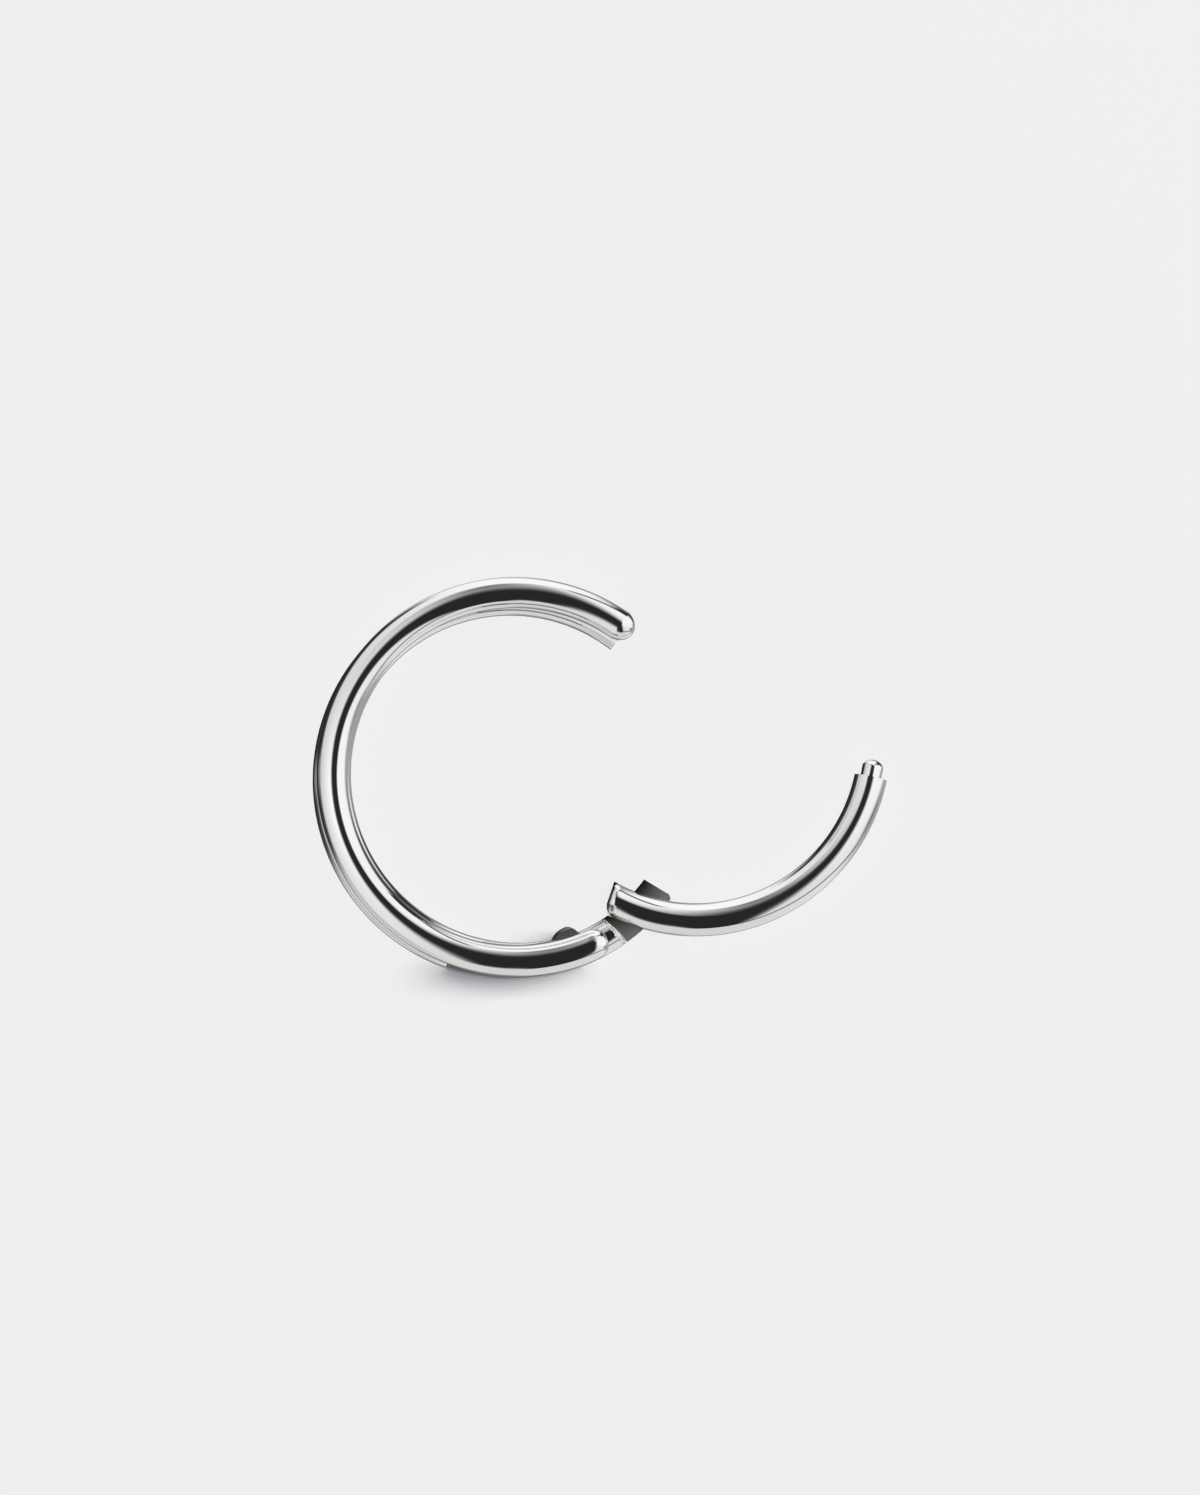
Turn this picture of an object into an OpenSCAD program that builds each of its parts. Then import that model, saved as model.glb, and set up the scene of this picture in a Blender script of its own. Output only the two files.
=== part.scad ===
// Double hoop nose ring in millimetres. The axis of the hoops is +Z and the ring lies on its far hoop.
// The hinged segment is drawn swung open, as it lies at rest.
// Angles are measured about the axis of the hoops, counter-clockwise from +X.

/* [Hoops] */
// clear diameter inside the far hoop
inside_diameter = 10; // [8:0.5:14]
// wire diameter of the far hoop and of the hinged segment
wire_diameter = 1; // [0.9:0.05:1.2]
// wire diameter of the near hoop
near_wire_diameter = 0.925; // [0.8:0.025:1.1]
// height of the near hoop's middle above the far hoop's middle
hoop_spacing = 1.9; // [1.7:0.05:2.4]
// how far the far hoop's wire swells inward on the side away from the opening
inner_swell = 0.21; // [0.15:0.01:0.3]

/* [Ends] */
// where the rounded end of the near hoop is centred
near_top_angle = 55.4; // [53.5:0.1:60]
// where the flat end of the near hoop lies
near_bottom_angle = 298.8; // [294:0.1:301]
// edge radius of the near hoop's flat end
near_end_edge = 0.32; // [0.2:0.02:0.36]
// where the catch end of the far hoop lies
catch_angle = 52.6; // [48:0.1:56]

/* [Bridge] */
// first end of the plate that joins the hoops, on its outer side
bridge_start = 250; // [240:0.5:260]
// last end of that plate
bridge_end = 292; // [286:0.5:294]
// slant of the plate's first end against the radius
bridge_slant = 36; // [0:1:40]
// radius of the solder bead at the plate's last end
bead_radius = 0.35; // [0.3:0.05:0.4]

/* [Hinge] */
// where the hinge's axis lies on the far hoop
pivot_angle = -45.1; // [-47:0.1:-43]
// how far the hinge's axis lies inside the middle of the wire
pivot_inset = 0.1; // [0:0.01:0.12]
// how far the segment stands open
open_angle = 64.1; // [0:0.1:80]
// from the hinge's axis to the end of the segment's ear
ear_length = 0.93; // [0.88:0.01:0.96]
// from the hinge's axis to the end of the far hoop's tongue
tongue_length = 0.83; // [0.78:0.01:0.88]
// slant of the tongue's end against the end of the ear
tongue_slant = 14; // [0:1:16]
// reach of the tongue's rounded outer corner from the hinge's axis
tongue_reach = 1.02; // [0.98:0.01:1.06]
// free space between facing ends of the half-lap joint
lap_gap = 0.05; // [0.03:0.01:0.06]
// diameter of the hinge rivet
rivet_diameter = 0.44; // [0.36:0.02:0.5]
// free space around the rivet in the segment's ear
rivet_clearance = 0.03; // [0.02:0.005:0.05]

/* [Latch] */
// diameter of the latch pin
latch_diameter = 0.64; // [0.5:0.02:0.68]
// length of the latch pin outside the segment
latch_length = 0.55; // [0.4:0.05:0.6]
// free space around the latch pin in the catch
latch_clearance = 0.03; // [0.02:0.01:0.05]
// free space between the closed segment's end and the catch
catch_gap = 0.1; // [0.04:0.02:0.14]

/* [Hidden] */
$fn = 64;
wire_r = wire_diameter / 2;
near_r = near_wire_diameter / 2;
ring_r = inside_diameter / 2 + wire_r;
outer_r = ring_r + wire_r;
far_z = wire_r;
near_z = far_z + hoop_spacing;
pivot_r = ring_r - pivot_inset;
pivot = pivot_r * [cos(pivot_angle), sin(pivot_angle)];
segment_end = catch_angle - catch_gap / ring_r * 180 / PI;
// both wires run on past the half-lap by this angle before their ends are cut
lap_overrun = 14;
// facing shoulders of the half-lap, measured from the hinge's axis
far_shoulder = ear_length + lap_gap;
segment_shoulder = tongue_reach + lap_gap / 2;
// reach of the ear's rounded outer corner, short of the far hoop's shoulder
ear_reach = far_shoulder - lap_gap / 2;
lap_play = 0.01;
hinge_block = wire_diameter * 2;
// second wire of the swelling: a thinner circle moved toward the opening
swell_wire_share = 0.88;
swell_wire_r = wire_r * swell_wire_share;
swell_move = inner_swell + wire_r - swell_wire_r;
swell_direction = 38;
swell_from = 135;
swell_to = 299;
// the plate reaches up into the near hoop by this share of its radius
bridge_bite = 0.45;
bridge_low = far_z;
bridge_high = near_z - near_r * (1 - bridge_bite);
bridge_overhang = 0.03;
bridge_inner_r = ring_r - wire_r - bridge_overhang;
bridge_top_inset = 0.04;
// the bead stops short of the plate's lower and upper face
bead_angle = 289;
bead_low = bridge_low + 0.05;
bead_high = bridge_high - 0.08;
bead_ring_r = ring_r - wire_r + 0.05;
// height of the rivet in the segment's ear, and how far its lower end is sunk, as shares of the wire's radius
rivet_rise = 0.6;
rivet_sink = 0.12;
rivet_top = far_z + wire_r * rivet_rise;
rivet_r = rivet_diameter / 2;
rivet_bottom = wire_r * rivet_sink;
ear_bore_r = rivet_r + rivet_clearance;
ear_bore_top = rivet_top - far_z + rivet_clearance;
latch_r = latch_diameter / 2;
latch_seat = 0.5;
latch_dome_share = 0.6;
latch_dome = latch_r * latch_dome_share;
latch_dome_r = (latch_r * latch_r + latch_dome * latch_dome) / (2 * latch_dome);
catch_r = latch_r + latch_clearance;
catch_spare = 0.1;
catch_depth = latch_length + catch_spare;
// reach of the open segment to the right, for the frame's middle
free_direction = segment_end - open_angle;
open_centre = pivot + pivot_r * [cos(180 + pivot_angle - open_angle), sin(180 + pivot_angle - open_angle)];
reach_right = open_centre[0] + outer_r * cos(min(0, free_direction));
middle_x = (reach_right - outer_r) / 2;

// Round wire bent along a circle from one angle to another.
module wire_arc(radius, wire, from, to) {
    rotate([0, 0, from])
        rotate_extrude(angle = to - from)
            translate([radius, 0])
                circle(r = wire);
}

// Places its child at an angle on a circle, with the child's +Z along the wire, counter-clockwise.
module along_wire(radius, angle) {
    rotate([0, 0, angle])
        translate([radius, 0, 0])
            rotate([-90, 0, 0])
                children();
}

// Turned end of a wire: a disc with a rounded edge and a short root inside the wire.
module wire_end(wire, edge) {
    rotate_extrude() {
        intersection() {
            union() {
                if (wire > edge)
                    square([wire - edge, edge]);
                translate([wire - edge, 0])
                    circle(r = edge);
            }
            square([wire, edge]);
        }
        translate([0, -near_end_edge])
            square([wire * 0.9, near_end_edge + edge / 2]);
    }
}

// Everything at the outer corner of a half-lap ear that would strike the facing shoulder when it swings.
module swing_corner(side, reach) {
    at_hinge()
        difference() {
            translate([0, side > 0 ? 0 : -hinge_block, -wire_diameter])
                cube([hinge_block, hinge_block, 2 * wire_diameter]);
            translate([0, 0, -2 * wire_diameter])
                cylinder(r = reach, h = 4 * wire_diameter);
        }
}

// Places its child at the hinge's axis, with the child's +X away from the hoops' axis and +Y toward the catch.
module at_hinge() {
    translate([pivot[0], pivot[1], 0])
        rotate([0, 0, pivot_angle])
            children();
}

// Block about the hinge that takes away part of a wire between two distances along it and two heights.
module lap_cut(from, to, low, high) {
    at_hinge()
        translate([-hinge_block / 2, from, low])
            cube([hinge_block, to - from, high - low]);
}

module near_hoop() {
    bottom_turn = near_end_edge / ring_r * 180 / PI;
    translate([0, 0, near_z]) {
        wire_arc(ring_r, near_r, near_top_angle, near_bottom_angle - bottom_turn);
        along_wire(ring_r, near_top_angle)
            mirror([0, 0, 1])
                wire_end(near_r, near_r);
        along_wire(ring_r, near_bottom_angle - bottom_turn)
            wire_end(near_r * 0.99, near_end_edge);
    }
}

module catch_slot() {
    along_wire(ring_r, catch_angle) {
        translate([0, 0, -wire_diameter])
            cylinder(r = catch_r, h = wire_diameter + catch_depth);
        translate([0, -catch_r, -wire_diameter])
            cube([wire_diameter, 2 * catch_r, wire_diameter + catch_depth]);
    }
}

// Everything beyond the slanted end of the far hoop's tongue.
module tongue_cut() {
    at_hinge()
        translate([0, tongue_length, 0])
            rotate([0, 0, tongue_slant])
                translate([-hinge_block, 0, -wire_diameter])
                    cube([2 * hinge_block, hinge_block, 2 * wire_diameter]);
}

module far_hoop() {
    translate([0, 0, far_z]) {
        difference() {
            wire_arc(ring_r, wire_r, catch_angle, pivot_angle + lap_overrun + 360);
            catch_slot();
            lap_cut(-far_shoulder, hinge_block, -lap_play, wire_diameter);
            tongue_cut();
            swing_corner(1, tongue_reach);
            translate([pivot[0], pivot[1], -wire_diameter])
                cylinder(r = rivet_r, h = 2 * wire_diameter);
        }
        translate(swell_move * [cos(swell_direction), sin(swell_direction), 0])
            wire_arc(ring_r, swell_wire_r, swell_from, swell_to);
    }
}

// Plate between the hoops with a slanted first end and a solder bead at its last end.
module bridge() {
    difference() {
        rotate([0, 0, bridge_start])
            rotate_extrude(angle = bridge_end - bridge_start)
                polygon([
                    [bridge_inner_r, bridge_low],
                    [outer_r, bridge_low],
                    [ring_r + near_r - bridge_top_inset, bridge_high],
                    [bridge_inner_r + bridge_top_inset, bridge_high]
                ]);
        rotate([0, 0, bridge_start])
            translate([outer_r, 0, 0])
                rotate([0, 0, -bridge_slant])
                    translate([-2 * wire_diameter, -2 * wire_diameter, -wire_diameter])
                        cube([3 * wire_diameter, 2 * wire_diameter, near_z + 2 * wire_diameter]);
    }
    rotate([0, 0, bead_angle])
        translate([bead_ring_r, 0, bead_low])
            cylinder(r = bead_radius, h = bead_high - bead_low);
}

// Moves a piece of the closed segment to where it stands open.
module swung_open() {
    translate([pivot[0], pivot[1], 0])
        rotate([0, 0, -open_angle])
            translate([-pivot[0], -pivot[1], 0])
                children();
}

module hoop_pair() {
    color("#b9bbbd")
        translate([-middle_x, 0, 0]) {
            near_hoop();
            far_hoop();
            bridge();
        }
}

module hinged_segment() {
    color("#c3c5c7")
        translate([-middle_x, 0, 0])
            swung_open()
                translate([0, 0, far_z])
                    difference() {
                        wire_arc(ring_r, wire_r, pivot_angle - lap_overrun, segment_end);
                        lap_cut(-hinge_block, segment_shoulder, -wire_diameter, lap_play);
                        lap_cut(-hinge_block, -ear_length, -wire_diameter, wire_diameter);
                        swing_corner(-1, ear_reach);
                        translate([pivot[0], pivot[1], -wire_diameter])
                            cylinder(r = ear_bore_r, h = wire_diameter + ear_bore_top);
                        along_wire(ring_r, segment_end)
                            translate([0, 0, -latch_seat])
                                cylinder(r = latch_r, h = wire_diameter);
                    }
}

module hinge_rivet() {
    color("#9a9c9e")
        translate([pivot[0] - middle_x, pivot[1], rivet_bottom])
            cylinder(r = rivet_r, h = rivet_top - rivet_bottom);
}

module latch_pin() {
    color("#a6a8aa")
        translate([-middle_x, 0, 0])
            swung_open()
                translate([0, 0, far_z])
                    along_wire(ring_r, segment_end)
                        rotate_extrude()
                            intersection() {
                                translate([0, -latch_seat])
                                    square([latch_r, latch_seat + latch_length]);
                                union() {
                                    translate([0, -latch_seat])
                                        square([latch_r, latch_seat + latch_length - latch_dome]);
                                    translate([0, latch_length - latch_dome_r])
                                        circle(r = latch_dome_r);
                                }
                            }
}

hoop_pair();
hinged_segment();
hinge_rivet();
latch_pin();
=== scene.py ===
"""Double hoop nose ring: the looks of its polished wires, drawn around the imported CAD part."""

import math

import bmesh
import bpy
import numpy as np
from bpy.props import FloatProperty, FloatVectorProperty, IntProperty, PointerProperty
from mathutils import Matrix, Vector

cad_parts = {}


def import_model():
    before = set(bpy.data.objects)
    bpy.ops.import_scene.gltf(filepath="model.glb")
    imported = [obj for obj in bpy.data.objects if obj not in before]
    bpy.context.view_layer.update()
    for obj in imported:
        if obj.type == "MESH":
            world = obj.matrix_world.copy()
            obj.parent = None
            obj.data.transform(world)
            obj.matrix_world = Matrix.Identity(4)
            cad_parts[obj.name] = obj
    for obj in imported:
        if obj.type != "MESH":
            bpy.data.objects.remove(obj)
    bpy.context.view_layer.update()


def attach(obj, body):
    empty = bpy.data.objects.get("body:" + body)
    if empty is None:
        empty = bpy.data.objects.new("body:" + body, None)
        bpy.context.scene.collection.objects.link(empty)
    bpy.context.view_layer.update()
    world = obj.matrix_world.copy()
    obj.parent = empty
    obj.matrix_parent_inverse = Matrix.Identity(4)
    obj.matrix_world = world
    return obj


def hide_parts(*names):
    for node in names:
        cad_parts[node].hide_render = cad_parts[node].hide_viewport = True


bl_info = {
    "name": "Double Hoop Nose Ring",
    "version": (1, 0, 0),
    "blender": (4, 5, 0),
    "location": "View3D > Sidebar > Nose Ring",
    "description": "Builds a double hoop nose ring with a hinged segment and its studio",
    "category": "Object",
}

MM = 0.001
# The wires keep their plain sections up to this angle from the hinge.
LAP_RUN = math.radians(14)
# Sections drawn before the half-lap's shoulder, from there to its end, and round the edge of that end.
RUN_SECTIONS, LAP_SECTIONS, EDGE_SECTIONS = 8, 32, 12
# Polished groove and edge of the half-lap's shoulder: place along it and depth, as shares of its width.
SHOULDER_PROFILE = ((0.1, 0.25), (0.25, 0.3), (0.4, 0.08), (0.55, 0.0), (0.7, 0.06), (0.88, 0.3), (1.0, 0.7))
# Bluntness of the near hoop's ends: 2 is a round dome and more is flatter.
ROUND_END, FLAT_END = 2, 2.5
DOME_SECTIONS = 24
# Points closer than this are one.
SAME_PLACE = 1e-8
# Cutters reach this far past what they cut.
CUT_REACH = 1.0 * MM
# Edges that turn by more than these angles are bevelled, or shaded as sharp on the wires and on small pieces.
BEVEL_FROM = math.radians(28)
WIRE_SHARP_FROM = math.radians(40)
SMALL_SHARP_FROM = math.radians(50)


def size_mm(label, text, value):
    """A length property in metres, with its default given in millimetres."""
    return FloatProperty(name=label, description=text, default=value * MM, unit="LENGTH", precision=6)


def angle_deg(label, text, value):
    """An angle property in radians, with its default given in degrees."""
    return FloatProperty(name=label, description=text, default=math.radians(value), unit="ROTATION")


def share_of(label, text, value):
    """A property between 0 and 1."""
    return FloatProperty(name=label, description=text, default=value, min=0, max=1)


class NoseRingShape(bpy.types.PropertyGroup):
    """Sizes of the wires, their ends and the hinge."""

    axis_x: size_mm("Axis X", "Where the axis of the hoops stands along X", -2.722207)
    ring_radius: size_mm("Hoop radius", "From the axis to the middle of the wire", 5.5)
    wire_radius: size_mm("Wire radius", "Half the thickness of the far hoop and the segment", 0.5)
    near_radius: size_mm("Near wire radius", "Half the thickness of the near hoop", 0.4625)
    near_height: size_mm("Near hoop height", "Height of the near hoop's middle", 2.4)
    inner_swell: size_mm("Inner swell", "How far the far hoop's wire bulges inward", 0.21)
    swell_angle: angle_deg("Swell angle", "Where the bulge is largest", 218)
    swell_wire: share_of("Swell wire", "Thickness of the bulge's wire beside the far hoop's", 0.88)
    near_top: angle_deg("Near top end", "Where the near hoop's rounded end is centred", 55.4)
    near_bottom: angle_deg("Near bottom end", "Where the near hoop's flat end lies", 298.8)
    near_cap: size_mm("Near end cap", "Length of the shallow dome on the near hoop's flat end", 0.6)
    near_crease: angle_deg("Near crease", "How far the near hoop's round end turns away at its start", 13)
    catch_angle: angle_deg("Catch end", "Where the far hoop's catch end lies", 52.6)
    catch_gap: size_mm("Catch gap", "Free space between the closed segment's end and the catch", 0.1)
    catch_spare: size_mm("Catch spare", "How much deeper the catch is than the latch pin is long", 0.1)
    pivot_angle: angle_deg("Hinge angle", "Where the hinge's axis lies on the far hoop", 314.9)
    pivot_inset: size_mm("Hinge inset", "How far the hinge's axis lies inside the middle of the wire", 0.1)
    ear_length: size_mm("Ear length", "From the hinge's axis to the end of the segment's ear", 0.93)
    tongue_length: size_mm("Tongue length", "From the hinge's axis to the end of the far hoop's tongue", 0.83)
    tongue_slant: angle_deg("Tongue slant", "Slant of the tongue's end against the end of the ear", 14)
    tongue_reach: size_mm("Tongue reach", "Reach of the tongue's rounded corner from the hinge's axis", 1.02)
    shoulder_chamfer: size_mm("Shoulder chamfer", "Width of the chamfer on the half-lap's shoulder", 0.15)
    ear_rounding: size_mm("Ear rounding", "Radius of the polished edge at the end of the ear", 0.2)
    lap_gap: size_mm("Lap gap", "Free space at the ends of the half-lap joint", 0.05)
    lap_play: size_mm("Lap play", "Free space above and below the half-lap's faces", 0.01)
    open_angle: angle_deg("Open angle", "How far the segment stands open", 64.1)
    rivet_radius: size_mm("Rivet radius", "Half the thickness of the hinge rivet", 0.22)
    rivet_seam: size_mm("Rivet seam", "Width of the seam round the rivet", 0.012)
    rivet_sink: size_mm("Rivet sink", "Height of the rivet's lower end", 0.04)
    rivet_top: size_mm("Rivet top", "Height of the rivet's hidden upper end", 0.8)
    rivet_hole: size_mm("Rivet hole", "Height up to which the seam round the rivet reaches", 0.3)
    latch_radius: size_mm("Latch pin radius", "Half the thickness of the latch pin", 0.32)
    latch_length: size_mm("Latch pin length", "Length of the latch pin outside the segment", 0.55)
    latch_root: size_mm("Latch pin root", "Length of the latch pin inside the segment", 0.3)
    latch_dome: share_of("Latch pin dome", "Height of the latch pin's dome beside its radius", 0.6)
    latch_play: size_mm("Latch play", "Free space around the latch pin in the catch", 0.03)
    bridge_start: angle_deg("Bridge start", "First end of the plate between the hoops", 250)
    bridge_end: angle_deg("Bridge end", "Last end of the plate between the hoops", 292)
    bridge_slant: angle_deg("Bridge slant", "Slant of the plate's first end against the radius", 36)
    bridge_bite: share_of("Bridge bite", "Share of the near wire's radius that the plate reaches into", 0.45)
    bridge_overhang: size_mm("Bridge overhang", "How far the plate stands inside the hoops", 0.03)
    bridge_inset: size_mm("Bridge inset", "How far the plate stays inside the far wire's outer side", 0.02)
    bridge_top_inset: size_mm("Bridge top inset", "How much narrower the plate's top is on each side", 0.04)
    bridge_bevel: size_mm("Bridge bevel", "Width of the bevel on the plate's edges", 0.03)
    bead_angle: angle_deg("Bead", "Where the solder bead at the plate's last end lies", 288.8)
    bead_steep: size_mm("Bead's steep side", "Length of the bead's short side along the wire", 0.25)
    bead_gentle: size_mm("Bead's gentle side", "Length of the bead's long side along the wire", 0.52)
    bead_rise: size_mm("Bead rise", "How far the bead stands out into the hoop", 0.31)
    bead_sink: size_mm("Bead sink", "How far the bead's middle lies inside the wire", 0.02)
    bead_foot: share_of("Bead foot", "Where the bead's bulging side begins, as a share of a half wave", 0.15)
    around: IntProperty(name="Around", description="Faces around a wire", default=128)
    step: angle_deg("Step", "Length of a face along a hoop", 0.6)
    bevel: size_mm("Edge bevel", "Width of the bevel on cut edges", 0.018)
    pin_bevel: size_mm("Pin bevel", "Width of the bevel on the latch pin", 0.02)


class NoseRingStage(bpy.types.PropertyGroup):
    """Camera, floor and light."""

    lean_x: FloatProperty(name="Lean right", description="How far the axis leans right", default=0.1003)
    lean_y: FloatProperty(name="Lean up", description="How far the axis leans up", default=0.0731)
    distance: size_mm("Camera distance", "From the camera to the far hoop's plane", 146.0)
    aim: FloatVectorProperty(
        name="Aim",
        description="Where the middle of the far hoop lies in the picture, from its middle",
        size=2,
        default=(-2.669 * MM, -0.996 * MM),
        unit="LENGTH",
    )
    lens: FloatProperty(name="Lens", description="Focal length on a 36 mm frame", default=116.46)
    room_light: FloatProperty(name="Room light", description="Strength of the light all round", default=0.25)
    key_power: FloatProperty(name="Key power", description="Power of the key light in watts", default=81.7)
    key_length: size_mm("Key length", "Length of the key light's window", 1800)
    key_width: size_mm("Key width", "Width of the key light's window", 600)
    key_place: FloatVectorProperty(
        name="Key place",
        description="Where the key light stands",
        size=3,
        default=(400 * MM, 270 * MM, 1680 * MM),
        unit="LENGTH",
    )
    floor_reach: size_mm("Floor reach", "From the middle of the floor to its edge", 400)
    dome_radius: size_mm("Dome radius", "Radius of the dome that the metal mirrors", 300)
    flag_height: size_mm("Flag height", "Height of the black flags close above the ring", 42)


class NoseRingSettings(bpy.types.PropertyGroup):
    """All settings of the nose ring."""

    shape: PointerProperty(type=NoseRingShape)
    stage: PointerProperty(type=NoseRingStage)


# Geometry


def around_wire(count):
    """Angles around a wire's section, from its outer side over the top."""
    return [2 * math.pi * i / count for i in range(count)]


def place(shape, radius, turn, along, height):
    """Point at a radius and an angle about the hoops' axis, moved along the wire's direction there."""
    c, s = math.cos(turn), math.sin(turn)
    return Vector((shape.axis_x + radius * c - along * s, radius * s + along * c, height))


def wire_section(shape, turn, wire, height, along=0.0, swell=0.0):
    """One closed section of a wire. Its inner side can bulge."""
    points = []
    for a in around_wire(shape.around):
        out, up = wire * math.cos(a), wire * math.sin(a)
        if out < 0:
            out *= 1 + swell / wire
        points.append(place(shape, shape.ring_radius + out, turn, along, height + up))
    return points


def turns_between(shape, start, end):
    """Evenly spaced angles from start to end."""
    count = max(2, round(abs(end - start) / shape.step))
    return [start + (end - start) * i / count for i in range(count + 1)]


def cap_rings(shape, turn, wire, height, length, power, direction, crease=0.0):
    """Domed wire end: sections that shrink while they move out along the wire. A higher power is blunter, and
    a crease starts the dome at that angle, so that a line shows between wire and dome."""
    rings = []
    rise = math.sin(crease)
    for i in range(1, DOME_SECTIONS):
        a = crease + (math.pi / 2 - crease) * i / DOME_SECTIONS
        radius = wire * (math.cos(a) / math.cos(crease)) ** (2 / power)
        along = length * ((math.sin(a) - rise) / (1 - rise)) ** (2 / power)
        rings.append(wire_section(shape, turn, radius, height, direction * along))
    return rings


def link_new(name, data):
    """A new object in the scene."""
    obj = bpy.data.objects.new(name, data)
    bpy.context.scene.collection.objects.link(obj)
    return obj


def mesh_from_rings(name, rings, tip_start=None, tip_end=None):
    """Joins sections into one closed mesh. A tip closes an end in a point, no tip closes it with one face."""
    count = len(rings[0])
    verts = [p for ring in rings for p in ring]
    faces = []
    for k in range(len(rings) - 1):
        a, b = k * count, (k + 1) * count
        for i in range(count):
            j = (i + 1) % count
            faces.append((a + i, a + j, b + j, b + i))
    for first, tip in ((0, tip_start), (len(verts) - count, tip_end)):
        loop = [first + i for i in range(count)]
        if tip is None:
            faces.append(tuple(loop))
            continue
        verts.append(tip)
        faces += [(loop[i - 1], loop[i], len(verts) - 1) for i in range(count)]
    mesh = bpy.data.meshes.new(name)
    mesh.from_pydata([tuple(v) for v in verts], [], faces)
    mesh.validate()
    tidy_normals(mesh)
    return link_new(name, mesh)


def tidy_normals(mesh):
    """Merges equal points, turns all faces outward and shades them smooth."""
    bm = bmesh.new()
    bm.from_mesh(mesh)
    bmesh.ops.remove_doubles(bm, verts=bm.verts, dist=SAME_PLACE)
    bmesh.ops.recalc_face_normals(bm, faces=bm.faces)
    for face in bm.faces:
        face.smooth = True
    bm.to_mesh(mesh)
    bm.free()


def mark_sharp(mesh, limit=WIRE_SHARP_FROM):
    """Marks the edges that turn by more than the limit as sharp."""
    bm = bmesh.new()
    bm.from_mesh(mesh)
    for face in bm.faces:
        face.smooth = True
    for edge in bm.edges:
        edge.smooth = not (len(edge.link_faces) == 2 and edge.calc_face_angle(0) > limit)
    bm.to_mesh(mesh)
    bm.free()


def evaluated(obj):
    """Replaces the object's mesh with what its modifiers make of it."""
    bpy.context.view_layer.update()
    graph = bpy.context.evaluated_depsgraph_get()
    mesh = bpy.data.meshes.new_from_object(obj.evaluated_get(graph))
    old = obj.data
    obj.modifiers.clear()
    obj.data = mesh
    bpy.data.meshes.remove(old)


def cut(obj, cutters):
    """Takes the cutters away from the object."""
    for cutter in cutters:
        boolean = obj.modifiers.new("cut", "BOOLEAN")
        boolean.operation = "DIFFERENCE"
        boolean.solver = "EXACT"
        boolean.object = cutter
    evaluated(obj)
    for cutter in cutters:
        mesh = cutter.data
        bpy.data.objects.remove(cutter)
        bpy.data.meshes.remove(mesh)


def bevel_edges(obj, width):
    """Rounds the cut edges a little, as polishing leaves them."""
    bevel = obj.modifiers.new("bevel", "BEVEL")
    bevel.width = width
    bevel.segments = 3
    bevel.limit_method = "ANGLE"
    bevel.angle_limit = BEVEL_FROM
    bevel.use_clamp_overlap = True
    evaluated(obj)


def turned(name, matrix, profile, count=96):
    """Solid of revolution about the matrix's Z from (radius, height) pairs."""
    rings = [
        [matrix @ Vector((r * math.cos(a), r * math.sin(a), z)) for a in around_wire(count)]
        for r, z in profile[1:-1]
    ]
    return mesh_from_rings(
        name, rings, matrix @ Vector((0, 0, profile[0][1])), matrix @ Vector((0, 0, profile[-1][1]))
    )


def drill(name, matrix, radius, low, high):
    """Round cutter about the matrix's Z between two heights."""
    return turned(name, matrix, [(0, low), (radius, low), (radius, high), (0, high)])


def along_wire(shape, turn, height):
    """Matrix at an angle on the hoops' middle circle: X away from the axis, Z along the wire."""
    c, s = math.cos(turn), math.sin(turn)
    x, z = Vector((c, s, 0)), Vector((-s, c, 0))
    m = Matrix((x, z.cross(x), z)).transposed().to_4x4()
    m.translation = place(shape, shape.ring_radius, turn, 0, height)
    return m


def pivot_radius(shape):
    """How far the hinge's axis stands from the hoops' axis."""
    return shape.ring_radius - shape.pivot_inset


def pivot_point(shape):
    """The hinge's axis on the floor plane."""
    return place(shape, pivot_radius(shape), shape.pivot_angle, 0, 0)


def swung_open(shape):
    """Turns the closed segment to where it stands open."""
    p = pivot_point(shape)
    return Matrix.Translation(p) @ Matrix.Rotation(-shape.open_angle, 4, "Z") @ Matrix.Translation(-p)


# Materials

POLISHED = "polished surgical steel"
MILLED = "milled surgical steel"
LAPPED = "lapped surgical steel"
FLOOR = "pale studio floor"
LIGHT = "studio light"
CLOTH = "black flag cloth"


def linear(code):
    """Linear RGBA of an sRGB hex colour."""
    out = []
    for i in (1, 3, 5):
        c = int(code[i : i + 2], 16) / 255
        out.append(c / 12.92 if c <= 0.04045 else ((c + 0.055) / 1.055) ** 2.4)
    return (*out, 1.0)


def add_node(tree, kind, links=(), **values):
    """Adds a node. Links are (output, input) pairs. Values set the node itself or its input of that name."""
    node = tree.nodes.new(kind)
    for key, value in values.items():
        if hasattr(node, key):
            setattr(node, key, value)
        else:
            node.inputs[key].default_value = value
    for source, target in links:
        tree.links.new(source, node.inputs[target])
    return node


def empty_material(name):
    """Node tree of a new material, without nodes."""
    material = bpy.data.materials.new(name)
    material.use_nodes = True
    material.node_tree.nodes.clear()
    return material.node_tree


def surface_material(name):
    """Node tree of a new material, and its shader."""
    tree = empty_material(name)
    shader = add_node(tree, "ShaderNodeBsdfPrincipled")
    add_node(tree, "ShaderNodeOutputMaterial", [(shader.outputs[0], "Surface")])
    return tree, shader


def marks_of(tree, size, detail):
    """Noise whose coarsest marks have the given size in metres."""
    spot = add_node(tree, "ShaderNodeTexCoord")
    return add_node(
        tree, "ShaderNodeTexNoise", [(spot.outputs["Object"], "Vector")], Scale=1 / size, Detail=detail
    ).outputs["Fac"]


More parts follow.
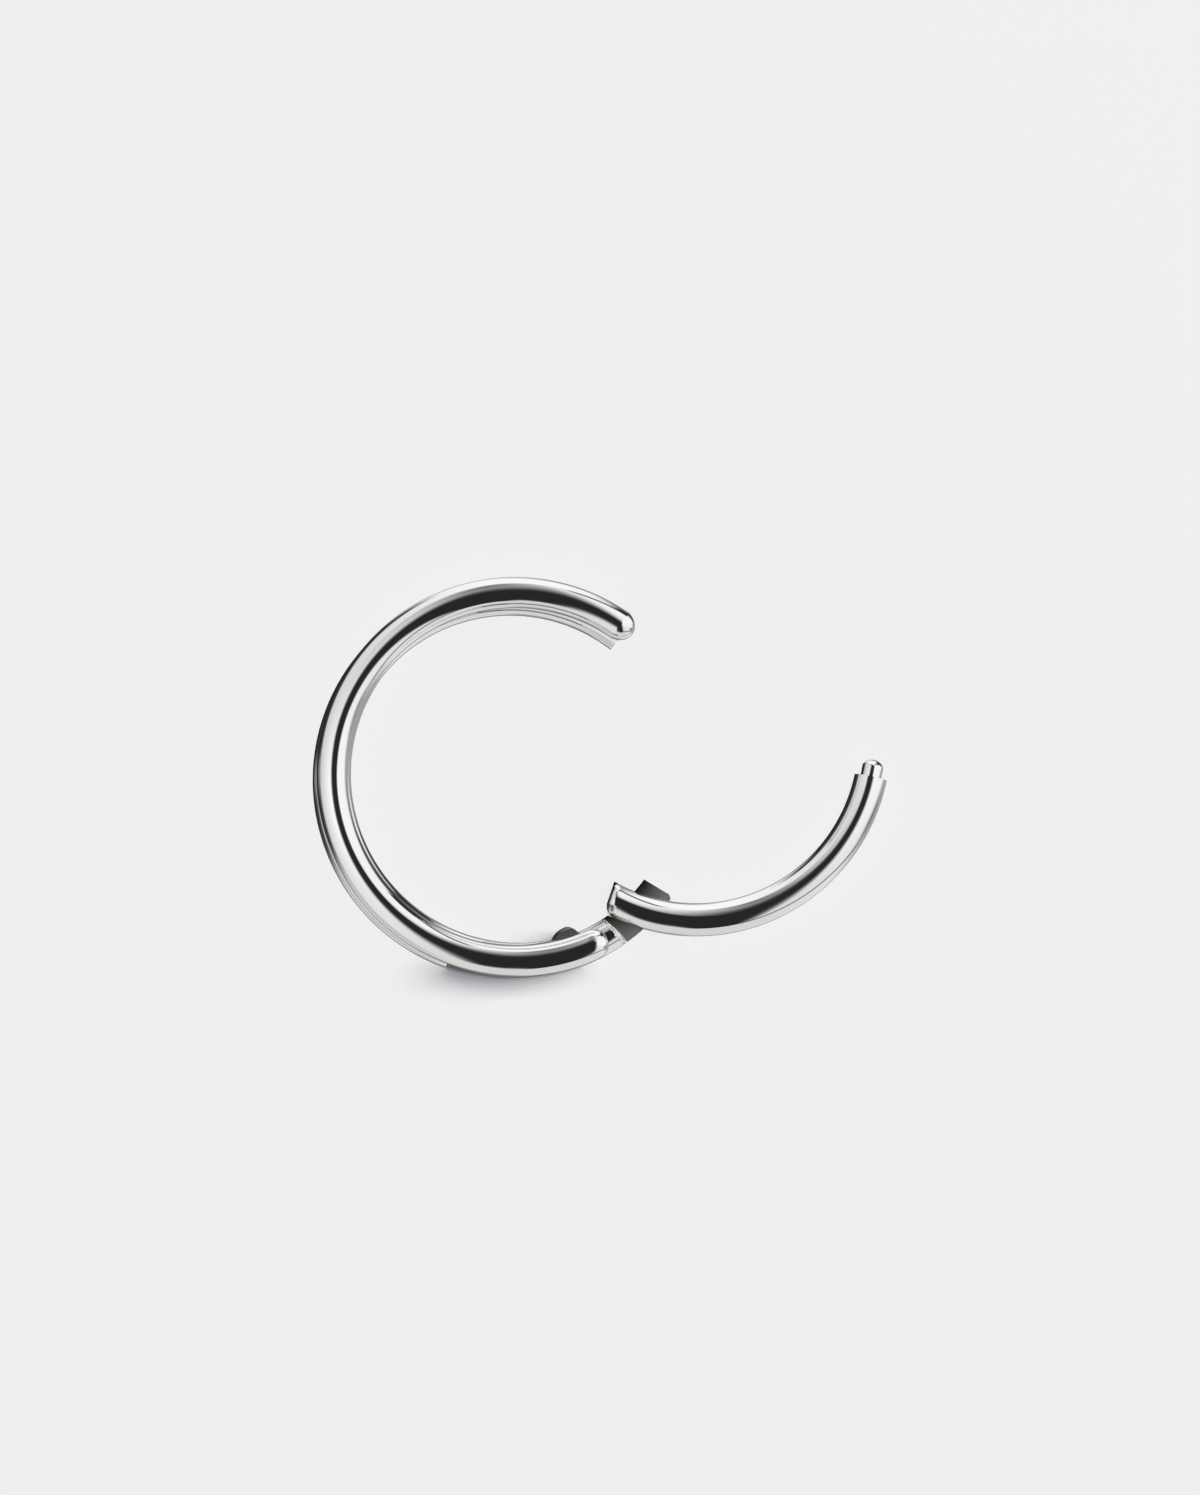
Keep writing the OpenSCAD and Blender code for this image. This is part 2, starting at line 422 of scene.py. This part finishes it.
def rescaled(tree, value, low, high, to_low=0.0, to_high=1.0):
    """A value taken from one range to another."""
    ends = {"From Min": low, "From Max": high, "To Min": to_low, "To Max": to_high}
    return add_node(tree, "ShaderNodeMapRange", [(value, "Value")], **ends).outputs["Result"]


def two_tones(tree, value, dark_at, dark, bright_at, bright):
    """Colour that runs from a dark to a bright tone between two values."""
    ramp = add_node(tree, "ShaderNodeValToRGB", [(value, "Fac")])
    for element, position, code in zip(ramp.color_ramp.elements, (dark_at, bright_at), (dark, bright)):
        element.position = position
        element.color = linear(code)
    return ramp.outputs["Color"]


def roughen(tree, shader, marks, strength, depth):
    """Lets the marks stand up from the surface by a depth in metres."""
    bump = add_node(tree, "ShaderNodeBump", [(marks, "Height")], Strength=strength, Distance=depth)
    tree.links.new(bump.outputs["Normal"], shader.inputs["Normal"])


def polished_steel():
    """Mirror polished surgical steel: clear reflections, with the faint haze and hairlines of buffing."""
    tree, shader = surface_material(POLISHED)
    shader.inputs["Metallic"].default_value = 1
    shader.inputs["Base Color"].default_value = linear("#F1F0EF")
    # Buffing leaves patches about 0.4 mm wide, and hairlines of about 5 micrometres that are drawn four times
    # as coarse, so that they just show.
    haze = rescaled(tree, marks_of(tree, 0.4 * MM, 4.0), 0.3, 0.7, 0.008, 0.028)
    tree.links.new(haze, shader.inputs["Roughness"])
    roughen(tree, shader, marks_of(tree, 0.02 * MM, 2.0), 0.04, 0.002 * MM)


def milled_steel():
    """Cut faces left matte by the mill: grainy, no clear reflections, and painted dark as shade between the
    hoops.
    """
    tree, shader = surface_material(MILLED)
    shader.inputs["Metallic"].default_value = 1
    shader.inputs["Roughness"].default_value = 0.42
    grain = marks_of(tree, 0.045 * MM, 3.0)
    # Painted shade: the dark base colour stands in for the shade between the hoops, and the grain gives it an
    # uneven tone.
    tree.links.new(two_tones(tree, grain, 0.3, "#6E6B69", 0.7, "#A3A09D"), shader.inputs["Base Color"])
    roughen(tree, shader, grain, 0.35, 0.02 * MM)


def lapped_steel(shape):
    """Faces of the half-lap with painted shading, dark toward the inner side of the wire and bright toward
    its
    outer side: satin, with fine marks of the file across them."""
    tree, shader = surface_material(LAPPED)
    shader.inputs["Metallic"].default_value = 1
    shader.inputs["Roughness"].default_value = 0.36
    spot = add_node(tree, "ShaderNodeTexCoord")
    axis = add_node(tree, "ShaderNodeCombineXYZ", X=shape.axis_x)
    flat = add_node(tree, "ShaderNodeVectorMath", [(spot.outputs["Object"], 0)], operation="MULTIPLY")
    flat.inputs[1].default_value = (1, 1, 0)
    points = [(flat.outputs["Vector"], 0), (axis.outputs["Vector"], 1)]
    away = add_node(tree, "ShaderNodeVectorMath", points, operation="DISTANCE")
    inner, outer = shape.ring_radius - shape.wire_radius, shape.ring_radius + shape.wire_radius
    across = rescaled(tree, away.outputs["Value"], inner, outer)
    marks = marks_of(tree, 0.033 * MM, 3.0)
    streaks = add_node(tree, "ShaderNodeMath", [(marks, 0)], operation="MULTIPLY")
    streaks.inputs[1].default_value = 0.3
    total = add_node(tree, "ShaderNodeMath", [(across, 0), (streaks.outputs[0], 1)], operation="ADD")
    # Painted shading: the tone runs from dark on the wire's inner side to bright on its outer side, with the
    # file's marks mixed in.
    tone = two_tones(tree, total.outputs[0], 0.2, "#3E3B39", 1.0, "#D6D3D0")
    tree.links.new(tone, shader.inputs["Base Color"])
    roughen(tree, shader, marks, 0.3, 0.01 * MM)


def floor_acrylic():
    """Pale studio floor of backlit acrylic: part of its light is its own, so shadows on it stay faint."""
    shader = surface_material(FLOOR)[1]
    shader.inputs["Base Color"].default_value = linear("#949494")
    shader.inputs["Roughness"].default_value = 0.9
    shader.inputs["Specular IOR Level"].default_value = 0.0
    shader.inputs["Emission Color"].default_value = linear("#EFE2FF")
    shader.inputs["Emission Strength"].default_value = 0.18


def studio_light():
    """Light of the studio's softboxes and walls, which the polished metal mirrors."""
    tree = empty_material(LIGHT)
    level = add_node(tree, "ShaderNodeAttribute", attribute_name="level")
    light = add_node(tree, "ShaderNodeEmission", [(level.outputs["Color"], "Color")])
    add_node(tree, "ShaderNodeOutputMaterial", [(light.outputs[0], "Surface")])


def flag_cloth():
    """Black flag cloth on thin frames: its middle swallows light and its edges let some light through."""
    tree = empty_material(CLOTH)
    level = add_node(tree, "ShaderNodeAttribute", attribute_name="level")
    parts = add_node(tree, "ShaderNodeSeparateColor", [(level.outputs["Color"], "Color")])
    light = add_node(tree, "ShaderNodeEmission", [(parts.outputs["Red"], "Color")])
    free = add_node(tree, "ShaderNodeBsdfTransparent", [(parts.outputs["Green"], "Color")])
    both = add_node(tree, "ShaderNodeAddShader", [(light.outputs[0], 0), (free.outputs[0], 1)])
    add_node(tree, "ShaderNodeOutputMaterial", [(both.outputs[0], "Surface")])


def need(material_name):
    """The material of that name, which the first operator made."""
    material = bpy.data.materials.get(material_name)
    if material is None:
        raise RuntimeError(material_name + " is missing: make the materials first")
    return material


def dress(obj, *material_names):
    """Gives the object its materials, in slot order."""
    obj.data.materials.clear()
    for name in material_names:
        obj.data.materials.append(need(name))


def lapped_where(obj, test):
    """Gives the object's second material to the faces that the test picks."""
    for face in obj.data.polygons:
        face.material_index = 1 if test(face) else 0


# Pieces


def build_near_hoop(shape):
    """Near hoop: a wire with one round and one blunt end."""
    wire, height = shape.near_radius, shape.near_height
    flat_turn = shape.near_bottom - shape.near_cap / shape.ring_radius
    rings = [wire_section(shape, a, wire, height) for a in turns_between(shape, shape.near_top, flat_turn)]
    start = cap_rings(shape, shape.near_top, wire, height, wire, ROUND_END, -1, shape.near_crease)
    end = cap_rings(shape, flat_turn, wire, height, shape.near_cap, FLAT_END, 1)
    tip_start = place(shape, shape.ring_radius, shape.near_top, -wire, height)
    tip_end = place(shape, shape.ring_radius, flat_turn, shape.near_cap, height)
    return mesh_from_rings("near_hoop", start[::-1] + rings + end, tip_start, tip_end)


def swell_at(shape, turn):
    """The far hoop's inward bulge at an angle: that of a slightly thinner circle moved toward the opening."""
    thinner = (1 - shape.swell_wire) * shape.wire_radius
    return max(0.0, (shape.inner_swell + thinner) * math.cos(turn - shape.swell_angle) - thinner)


def plane_turn(shape, radius, distance, slant=0.0):
    """How far round from the hinge a line along the wire meets a cut at a distance from the hinge's axis."""
    pivot = pivot_radius(shape)
    return slant + math.asin((distance * math.cos(slant) - pivot * math.sin(slant)) / radius)


def end_turn(shape, radius, distance, slant, reach):
    """How far round from the hinge a line along the wire ends: at the cut, or on the rounded outer corner."""
    pivot = pivot_radius(shape)
    cut_turn = plane_turn(shape, radius, distance, slant)
    cosine = (radius**2 + pivot**2 - reach**2) / (2 * radius * pivot)
    if radius * cosine <= pivot:
        return cut_turn
    return min(cut_turn, math.acos(min(1.0, cosine)))


def lap_section(shape, turn_at, keep_above=None, shrink=0.0, shrink_above=True):
    """Section of the far wire whose angle depends on the radius. A half-lap keeps one half of its height."""
    ring = []
    for a in around_wire(shape.around):
        wire = shape.wire_radius
        if (math.sin(a) > 0) == shrink_above:
            wire -= shrink
        out, up = wire * math.cos(a), wire * math.sin(a)
        if keep_above is not None:
            up = max(up, shape.lap_play) if keep_above else min(up, -shape.lap_play)
        radius = shape.ring_radius + out
        ring.append(place(shape, radius, turn_at(radius), 0, shape.wire_radius + up))
    return ring


def lap_rings(shape, side, shoulder, end, keep_above, rounding=0.0):
    """Sections from the full wire over the half-lap's shoulder to the end of its ear or tongue."""
    pivot = shape.pivot_angle

    def run_up(radius):
        return pivot - side * LAP_RUN

    def at_shoulder(radius):
        return pivot - side * plane_turn(shape, radius, shoulder)

    def at_end(radius):
        return pivot + side * end_turn(shape, radius, *end)

    def between(first, last, part):
        return lambda radius: first(radius) + (last(radius) - first(radius)) * part

    chamfer = shape.shoulder_chamfer
    before = 1 - chamfer / (pivot_radius(shape) * LAP_RUN - shoulder)
    rings = [
        lap_section(shape, between(run_up, at_shoulder, before * k / RUN_SECTIONS))
        for k in range(1, RUN_SECTIONS + 1)
    ]
    for step, depth in SHOULDER_PROFILE:
        edge = between(run_up, at_shoulder, before + (1 - before) * step)
        rings.append(lap_section(shape, edge, None, chamfer * depth, not keep_above))
    full = 1 - rounding / (shoulder + end[0])
    for k in range(LAP_SECTIONS + 1):
        rings.append(lap_section(shape, between(at_shoulder, at_end, full * k / LAP_SECTIONS), keep_above))
    if rounding:
        for k in range(1, EDGE_SECTIONS + 1):
            a = math.pi / 2 * k / EDGE_SECTIONS
            edge = between(at_shoulder, at_end, full + (1 - full) * math.sin(a))
            rings.append(lap_section(shape, edge, keep_above, rounding * (1 - math.cos(a)), keep_above))
    return rings


def flat_ended(name, rings):
    """Mesh of a wire whose two ends are closed with triangles, so that a half-lap's end is flat too."""
    obj = mesh_from_rings(name, rings)
    bm = bmesh.new()
    bm.from_mesh(obj.data)
    for face in [f for f in bm.faces if len(f.verts) > 4]:
        rim = list(face.edges)
        bm.faces.remove(face)
        bmesh.ops.triangle_fill(bm, edges=rim, use_beauty=True)
    bmesh.ops.recalc_face_normals(bm, faces=bm.faces)
    bm.to_mesh(obj.data)
    bm.free()
    return obj


def catch_cutters(shape):
    """The catch's slot: a bore along the wire that is open on the outer side."""
    at_catch = along_wire(shape, shape.catch_angle, shape.wire_radius)
    radius = shape.latch_radius + shape.latch_play
    depth = shape.latch_length + shape.catch_spare
    bore = drill("slot_bore", at_catch, radius, -CUT_REACH, depth)
    mesh = bpy.data.meshes.new("slot_side")
    bm = bmesh.new()
    bmesh.ops.create_cube(bm, size=1)
    for v in bm.verts:
        out, along = (v.co.x + 0.5) * CUT_REACH, (v.co.z + 0.5) * (depth + CUT_REACH) - CUT_REACH
        v.co = at_catch @ Vector((out, v.co.y * 2 * radius, along))
    bm.to_mesh(mesh)
    bm.free()
    tidy_normals(mesh)
    return [bore, link_new("slot_side", mesh)]


def build_far_hoop(shape):
    """Far hoop: the catch end, the swelling wire and the lower half of the half-lap."""
    rings = [
        wire_section(shape, a, shape.wire_radius, shape.wire_radius, swell=swell_at(shape, a))
        for a in turns_between(shape, shape.catch_angle, shape.pivot_angle - LAP_RUN)
    ]
    tongue = (shape.tongue_length, shape.tongue_slant, shape.tongue_reach)
    rings += lap_rings(shape, 1, shape.ear_length + shape.lap_gap, tongue, False)
    obj = flat_ended("far_hoop", rings)
    at_rivet = Matrix.Translation(pivot_point(shape))
    hole = drill("rivet_hole", at_rivet, shape.rivet_radius + shape.rivet_seam, -CUT_REACH, shape.rivet_hole)
    cut(obj, [*catch_cutters(shape), hole])
    bevel_edges(obj, shape.bevel)
    mark_sharp(obj.data)
    return obj


def segment_end(shape):
    """Where the closed segment's free end lies."""
    return shape.catch_angle + 2 * math.pi - shape.catch_gap / shape.ring_radius


def build_segment(shape):
    """Hinged segment: the upper half of the half-lap, the wire and the flat free end."""
    ear = (shape.ear_length, 0.0, shape.ear_length + shape.lap_gap / 2)
    rings = lap_rings(shape, -1, shape.tongue_reach + shape.lap_gap / 2, ear, True, shape.ear_rounding)[::-1]
    rings += [
        wire_section(shape, a, shape.wire_radius, shape.wire_radius)
        for a in turns_between(shape, shape.pivot_angle + LAP_RUN, segment_end(shape))
    ]
    obj = flat_ended("segment_wire", rings)
    obj.data.transform(swung_open(shape))
    bevel_edges(obj, shape.bevel)
    mark_sharp(obj.data)
    return obj


def build_latch_pin(shape):
    """Latch pin: a short pin with a domed tip in the segment's free end."""
    r, root, length = shape.latch_radius, -shape.latch_root, shape.latch_length
    dome = shape.latch_dome * r
    dome_r = (r * r + dome * dome) / (2 * dome)
    half = math.asin(r / dome_r)
    neck = length - dome
    profile = [(0, root), (r, root), (r, 0.0), (r, neck / 2), (r, neck)]
    for i in range(1, DOME_SECTIONS + 1):
        a = half * (1 - i / (DOME_SECTIONS + 1))
        profile.append((dome_r * math.sin(a), length - dome_r + dome_r * math.cos(a)))
    profile.append((0, length))
    at_end = along_wire(shape, segment_end(shape), shape.wire_radius)
    obj = turned("latch_pin_look", swung_open(shape) @ at_end, profile)
    bevel_edges(obj, shape.pin_bevel)
    mark_sharp(obj.data, SMALL_SHARP_FROM)
    return obj


def build_rivet(shape):
    """Hinge rivet: only its lower end shows, a little inside the wire, with a filed edge."""
    r, low, top = shape.rivet_radius, shape.rivet_sink, shape.rivet_top
    crown, edge = 0.005 * MM, 0.03 * MM
    profile = [(0, low), (0.9 * r, low + crown), (r, low + edge), (r, top), (0, top)]
    obj = turned("rivet_look", Matrix.Translation(pivot_point(shape)), profile)
    mark_sharp(obj.data)
    return obj


def build_bead(shape, low, high):
    """Leftover solder at the plate's last end: a ridge with one gentle and one steep side."""
    rows, columns = 24, 48
    middle = shape.ring_radius - shape.wire_radius + shape.bead_sink
    rings = []
    for j in range(rows + 1):
        wave = shape.bead_foot + (1 - 2 * shape.bead_foot) * j / rows
        rise = shape.bead_rise * math.sin(math.pi * wave) ** 0.5
        ring = []
        for a in around_wire(columns):
            along = math.cos(a)
            along *= shape.bead_steep if along > 0 else shape.bead_gentle
            turn = shape.bead_angle + along / shape.ring_radius
            ring.append(place(shape, middle + rise * math.sin(a), turn, 0, low + (high - low) * j / rows))
        rings.append(ring)
    bead = mesh_from_rings("bridge_bead", rings)
    mark_sharp(bead.data, SMALL_SHARP_FROM)
    return bead


def build_bridge(shape):
    """Matte plate between the hoops, with a slanted first end and a bead at its last end."""
    ring, wire, inset = shape.ring_radius, shape.wire_radius, shape.bridge_top_inset
    low, high = wire, shape.near_height - (1 - shape.bridge_bite) * shape.near_radius
    inner, outer = ring - wire - shape.bridge_overhang, ring + wire - shape.bridge_inset
    corners = ((inner, low), (outer, low), (ring + shape.near_radius - inset, high), (inner + inset, high))
    sections = 60
    rings = []
    for i in range(sections + 1):
        section = []
        for radius, z in corners:
            first = shape.bridge_start + math.tan(shape.bridge_slant) * (outer - radius) / radius
            turn = first + (shape.bridge_end - first) * i / sections
            section.append(place(shape, radius, turn, 0, z))
        rings.append(section)
    plate = mesh_from_rings("bridge_plate", rings)
    bevel_edges(plate, shape.bridge_bevel)
    mark_sharp(plate.data)
    return plate, build_bead(shape, low, high)


# Operators


class NOSERING_OT_materials(bpy.types.Operator):
    """Make the steel, floor, light and flag materials"""

    bl_idname = "nosering.materials"
    bl_label = "Materials"

    def execute(self, context):
        for make in (polished_steel, milled_steel, floor_acrylic, studio_light, flag_cloth):
            make()
        lapped_steel(context.scene.nose_ring.shape)
        return {"FINISHED"}


class NOSERING_OT_hoops(bpy.types.Operator):
    """Build the joined near and far hoop with the plate between them"""

    bl_idname = "nosering.hoops"
    bl_label = "Hoop pair"

    def execute(self, context):
        shape = context.scene.nose_ring.shape
        near = build_near_hoop(shape)
        dress(near, POLISHED)
        far = build_far_hoop(shape)
        dress(far, POLISHED, LAPPED)
        lap = shape.wire_radius - shape.lap_play
        hinge = pivot_point(shape)

        def on_lap(face):
            near_hinge = (face.center - hinge).xy.length < 2 * shape.tongue_reach
            return near_hinge and abs(face.center.z - lap) < 0.4 * shape.lap_play

        lapped_where(far, on_lap)
        plate, bead = build_bridge(shape)
        dress(plate, MILLED)
        dress(bead, MILLED)
        for obj in (near, far, plate, bead):
            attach(obj, "hoops")
            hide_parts("hoop_pair")
        return {"FINISHED"}


class NOSERING_OT_segment(bpy.types.Operator):
    """Build the hinged segment with its latch pin and the hinge rivet"""

    bl_idname = "nosering.segment"
    bl_label = "Segment and pins"

    def execute(self, context):
        shape = context.scene.nose_ring.shape
        wire = build_segment(shape)
        dress(wire, POLISHED, LAPPED)

        def on_lap(face):
            return face.normal.z < -0.9 and abs(face.center.z - shape.wire_radius) < 1.5 * shape.lap_play

        lapped_where(wire, on_lap)
        pin = build_latch_pin(shape)
        dress(pin, POLISHED)
        for obj, node in ((wire, "hinged_segment"), (pin, "latch_pin")):
            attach(obj, "segment")
            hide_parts(node)
        rivet = build_rivet(shape)
        dress(rivet, POLISHED)
        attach(rivet, "hoops")
        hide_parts("hinge_rivet")
        return {"FINISHED"}


# Softboxes and flags on the studio's dome. Places are degrees from straight up, to the right and up in
# the picture. Each has its middle, half width and half height, turn, edge blur and brightness.
CARDS = (
    ("right streak", (57, -51), (35, 3.2), 15, 2.5, 0.06),
    ("upper right flag", (104.5, 91), (37.5, 41.5), 55, 13.5, 0.04),
    ("upper right streak", (37, 68), (16, 4), 22, 2.5, 0.08),
    ("end flag", (65, 77), (17, 13), 50, 2.5, 0.03),
    ("right patch", (100, -26), (23.5, 13.5), 26.5, 12.5, 0.16),
)
# Surroundings low down, which show along the sides of the wires. Each has the middle and half span of its
# direction, the same of its angle from straight up, edge blur and brightness.
ARCS = (
    ("upper left", (142, 30.5), (132.5, 28.5), 7, 0.05),
    ("left", (191.5, 17.5), (126.5, 25), 12, 0.06),
    ("top", (86.5, 34), (140, 8.5), 3, 0.80),
    ("upper right", (63.5, 17.5), (138, 13.5), 12, 0.24),
    ("right", (20, 17), (131, 14), 4.5, 0.08),
    ("lower right", (352, 22), (128, 24), 12, 0.40),
    ("bottom", (260.5, 17.5), (139, 8), 4.5, 0.35),
    ("left below", (155, 39.5), (152, 25), 12, 0.02),
    ("right below", (358, 88), (164.5, 4.5), 2, 0.45),
    ("lower left", (228, 20.5), (115.5, 18.5), 12, 0.58),
)
# Brightness of the walls all round, with the direction in degrees from +X, and how sharply one wall ends
# where the next begins.
WALLS = ((0, 1.08), (45, 1.0), (90, 1.12), (135, 0.75), (180, 1.15), (225, 0.90), (270, 0.70), (315, 0.80))
WALL_POWER = 6
# How much the left wall darkens toward the floor, where that starts and over how many degrees.
LEFT_WALL, LEFT_FALL, FALL_FROM, FALL_SPAN = 180, 0.55, 25, 75
# Darkness below the floor, which gives the wires their thin outlines: start, edge blur and brightness.
RIM_FROM, RIM_BLUR, RIM_LEVEL = 149, 4, 0.07
# Black flags close above the ring. Places are mm in the ring's frame: middle, half width and half height,
# turn, edge blur across and along, and brightness.
FLAGS = (
    ("overhead flag", (12.5, -44), (15.5, 57.5), 13, (6, 4), 0.022),
    ("haze", (-6, 66), (15, 34), -7, (29, 26), 0.04),
    ("upper flag", (-2.5, -22), (11.5, 62), -5, (8, 29), 0.022),
)
# Left, right, lower and upper edge of the sheet that carries them, and the spacing of its points, in mm.
FLAG_SHEET = (-90, 90, -180, 130)
FLAG_SPACING = 2
# Spacing of the dome's points in degrees.
DOME_SPACING = 1


def inside(value, half, blur):
    """1 within half of zero, falling smoothly to 0 across the blur."""
    t = np.clip((half + blur - np.abs(value)) / (2 * blur), 0, 1)
    return t * t * (3 - 2 * t)


def covered(x, y, middle, half, turn, blur):
    """How much of each place a turned card with soft edges covers."""
    c, s = math.cos(math.radians(turn)), math.sin(math.radians(turn))
    x, y = x - middle[0], y - middle[1]
    return inside(x * c + y * s, half[0], blur[0]) * inside(y * c - x * s, half[1], blur[1])


def studio_level(polar, azimuth):
    """Brightness of the studio towards a direction, in degrees from straight up and round from +X."""
    fall = LEFT_FALL * np.clip((polar - FALL_FROM) / FALL_SPAN, 0, 1)
    total, weights = 0, 0
    for side, bright in WALLS:
        weight = np.maximum(0, np.cos(np.radians(azimuth - side))) ** WALL_POWER
        total = total + weight * (bright - (fall if side == LEFT_WALL else 0))
        weights = weights + weight
    level = total / weights
    level = level + (RIM_LEVEL - level) * (1 - inside(polar, RIM_FROM, RIM_BLUR))
    x, y = polar * np.cos(np.radians(azimuth)), polar * np.sin(np.radians(azimuth))
    for name, middle, half, turn, blur, bright in CARDS:
        level = level + (bright - level) * covered(x, y, middle, half, turn, (blur, blur))
    for name, (direction, half_span), (height, half_height), blur, bright in ARCS:
        off = (azimuth - direction + 180) % 360 - 180
        part = inside(off, half_span, blur) * inside(polar - height, half_height, blur)
        level = level + (bright - level) * part
    return level


def flags_seen(x, y):
    """Light and free view through the flags close above the ring, at places in millimetres."""
    light, free = np.zeros_like(x), np.ones_like(x)
    for name, middle, half, turn, blur, bright in FLAGS:
        part = covered(x, y, middle, half, turn, blur)
        light, free = light + (bright - light) * part, free * (1 - part)
    return light, free


def mirrored_surface(name, points, channels, material, closed=False):
    """Surface through a grid of points that only reflections see, with up to three values at each point. A
    closed one joins its last column to its first."""
    rows, columns = points.shape[:2]
    faces = []
    for i in range(rows - 1):
        for j in range(columns if closed else columns - 1):
            k = (j + 1) % columns
            faces.append((i * columns + j, i * columns + k, (i + 1) * columns + k, (i + 1) * columns + j))
    mesh = bpy.data.meshes.new(name)
    mesh.from_pydata([tuple(v) for v in points.reshape(-1, 3)], [], faces)
    colour = np.ones((rows, columns, 4), np.float32)
    colour[..., :3] = np.stack(channels, -1)
    attribute = mesh.color_attributes.new("level", "FLOAT_COLOR", "POINT")
    attribute.data.foreach_set("color", colour.ravel())
    mesh.materials.append(material)
    obj = link_new(name, mesh)
    obj.visible_camera = False
    obj.visible_diffuse = False
    obj.visible_shadow = False
    return obj


def flag_sheet(height):
    """Thin sheet above the ring that carries the black flags."""
    left, right, low, high = FLAG_SHEET
    x, y = np.meshgrid(
        np.arange(left, right + 1.0, FLAG_SPACING), np.arange(low, high + 1.0, FLAG_SPACING), indexing="ij"
    )
    light, free = flags_seen(x, y)
    points = np.stack([x * MM, y * MM, np.full(x.shape, height)], -1)
    return mirrored_surface("flag_sheet", points, (light, free, 0 * x), need(CLOTH))


def studio_dome(radius, centre):
    """Sphere around the ring with the studio's brightness at each point."""
    polar, azimuth = np.meshgrid(
        np.arange(0, 181.0, DOME_SPACING), np.arange(0, 360.0, DOME_SPACING), indexing="ij"
    )
    p, a = np.radians(polar), np.radians(azimuth)
    points = np.stack([np.sin(p) * np.cos(a), np.sin(p) * np.sin(a), np.cos(p)], -1) * radius
    level = studio_level(polar, azimuth)
    dome = mirrored_surface("studio_dome", points, (level, level, level), need(LIGHT), closed=True)
    dome.location = centre
    return dome


def add_floor(reach):
    """Plain floor under the ring, which reflections leave out."""
    mesh = bpy.data.meshes.new("floor")
    corners = [(-reach, -reach, 0), (reach, -reach, 0), (reach, reach, 0), (-reach, reach, 0)]
    mesh.from_pydata(corners, [], [(0, 1, 2, 3)])
    mesh.materials.append(need(FLOOR))
    floor = link_new("floor", mesh)
    floor.visible_glossy = False


def add_room_light(scene, strength):
    """Even pale light from all sides."""
    world = bpy.data.worlds.new("studio")
    world.use_nodes = True
    background = world.node_tree.nodes["Background"]
    background.inputs["Color"].default_value = (1, 1, 1, 1)
    background.inputs["Strength"].default_value = strength
    scene.world = world


def level_frame(z):
    """Three axes of which the last is given and the first has no part along Y."""
    x = Vector((1, 0, -z.x / z.z)).normalized()
    return x, z.cross(x), z


def add_key(stage):
    """Far key light through a wide window. Only the plate and its bead stop it, so the floor keeps one soft
    shadow under them."""
    lamp = bpy.data.lights.new("key", "AREA")
    lamp.energy = stage.key_power
    lamp.shape = "RECTANGLE"
    lamp.size, lamp.size_y = stage.key_length, stage.key_width
    lamp.color = linear("#FCFFF7")[:3]
    key = link_new("key", lamp)
    key.visible_glossy = False
    blockers = bpy.data.collections.new("key_blockers")
    for name in ("bridge_plate", "bridge_bead"):
        blockers.objects.link(bpy.data.objects[name])
    key.light_linking.blocker_collection = blockers
    away = Vector(stage.key_place)
    m = Matrix(level_frame(away.normalized())).transposed().to_4x4()
    m.translation = away
    key.matrix_world = m


def add_camera(scene, shape, stage):
    """Camera that sees the far hoop's plane at the set lean, distance and aim."""
    data = bpy.data.cameras.new("camera")
    data.sensor_fit = "AUTO"
    data.sensor_width = 36
    data.lens = stage.lens
    data.clip_start, data.clip_end = 5 * MM, 5
    camera = link_new("camera", data)
    lean = Vector((stage.lean_x, stage.lean_y, 0))
    lean.z = math.sqrt(1 - lean.length_squared)
    to_row = Matrix(level_frame(lean))
    middle = Vector((shape.axis_x, 0, shape.wire_radius))
    m = to_row.to_4x4()
    m.translation = middle - to_row @ Vector((*stage.aim, -stage.distance))
    camera.matrix_world = m
    scene.camera = camera


class NOSERING_OT_stage(bpy.types.Operator):
    """Set up the floor, the light, the flags and the camera"""

    bl_idname = "nosering.stage"
    bl_label = "Stage"

    def execute(self, context):
        scene = context.scene
        shape, stage = scene.nose_ring.shape, scene.nose_ring.stage
        add_floor(stage.floor_reach)
        studio_dome(stage.dome_radius, (shape.axis_x, 0, 0))
        flag_sheet(stage.flag_height)
        add_room_light(scene, stage.room_light)
        add_key(stage)
        add_camera(scene, shape, stage)
        scene.view_settings.view_transform = "Standard"
        return {"FINISHED"}


class NOSERING_PT_panel(bpy.types.Panel):
    """The nose ring's settings and steps"""

    bl_label = "Nose Ring"
    bl_idname = "NOSERING_PT_panel"
    bl_space_type = "VIEW_3D"
    bl_region_type = "UI"
    bl_category = "Nose Ring"

    def draw(self, context):
        settings = context.scene.nose_ring
        for group in (settings.shape, settings.stage):
            column = self.layout.column()
            for name in group.__annotations__:
                column.prop(group, name)
        for step in OPERATORS:
            self.layout.operator(step.bl_idname)


OPERATORS = (NOSERING_OT_materials, NOSERING_OT_hoops, NOSERING_OT_segment, NOSERING_OT_stage)
CLASSES = (NoseRingShape, NoseRingStage, NoseRingSettings, *OPERATORS, NOSERING_PT_panel)


def register():
    for cls in CLASSES:
        bpy.utils.register_class(cls)
    bpy.types.Scene.nose_ring = PointerProperty(type=NoseRingSettings)


def unregister():
    del bpy.types.Scene.nose_ring
    for cls in reversed(CLASSES):
        bpy.utils.unregister_class(cls)


def main():
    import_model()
    register()
    bpy.ops.nosering.materials()
    bpy.ops.nosering.hoops()
    bpy.ops.nosering.segment()
    bpy.ops.nosering.stage()


if __name__ == "__main__":
    main()
